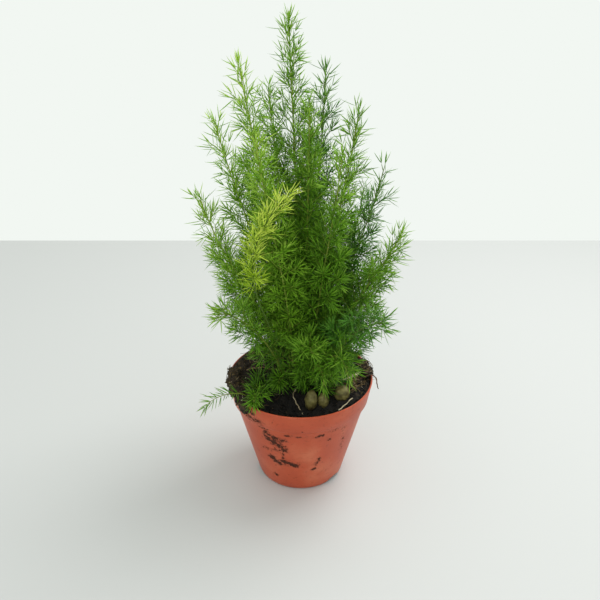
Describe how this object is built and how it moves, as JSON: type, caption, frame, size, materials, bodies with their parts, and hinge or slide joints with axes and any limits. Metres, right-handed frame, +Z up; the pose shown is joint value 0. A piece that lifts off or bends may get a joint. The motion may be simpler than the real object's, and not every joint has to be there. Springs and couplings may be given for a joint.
{
  "type": "potted foxtail fern",
  "caption": "Feathery asparagus plant, sold as foxtail fern, with upright plumes of needle leaves, tubers and soil in a tapered nursery pot.",
  "frame": {"origin": "middle of the pot's underside, on the surface it stands on", "axes": "+Z up, -Y towards the front, +X to the right seen from the front"},
  "size_m": [0.1718, 0.1547, 0.3766],
  "materials": {
    "pot_plastic": "satin",
    "peat_soil": "matte",
    "tuber_skin": "satin",
    "root_bark": "matte",
    "foliage_green": "satin",
    "foliage_light": "satin",
    "foliage_young": "satin",
    "foliage_dark": "satin"
  },
  "bodies": {
    "root": {"plume_back_centre": "foliage_green", "plume_back_left": "foliage_dark", "plume_back_left_tall": "foliage_green", "plume_back_low": "foliage_green", "plume_back_right": "foliage_dark", "plume_back_side_left": "foliage_green", "plume_back_side_right": "foliage_green", "plume_front_arch": "foliage_green", "plume_front_left_column": "foliage_light", "plume_front_left_low": "foliage_green", "plume_front_nodding": "foliage_green", "plume_front_right_column": "foliage_green", "plume_front_right_low": "foliage_dark", "plume_front_short": "foliage_green", "plume_left_side": "foliage_light", "plume_left_upper": "foliage_light", "plume_mid_centre": "foliage_green", "plume_right_side": "foliage_green", "plume_right_tall": "foliage_green", "plume_right_upper": "foliage_dark", "plume_tall_centre": "foliage_green", "plume_tall_left": "foliage_light", "plume_tall_right": "foliage_dark", "plume_young": "foliage_young", "pot": "pot_plastic", "root_brown_left": "root_bark", "root_over_rim": "root_bark", "root_pale_front": "root_bark", "root_pale_right": "root_bark", "root_tan_right": "root_bark", "shoot_low_centre": "foliage_green", "shoot_low_left": "foliage_green", "shoot_over_rim": "foliage_green", "soil": "peat_soil", "tuber_front": "tuber_skin", "tuber_middle": "tuber_skin", "tuber_right": "tuber_skin"}
  },
  "joints": []
}
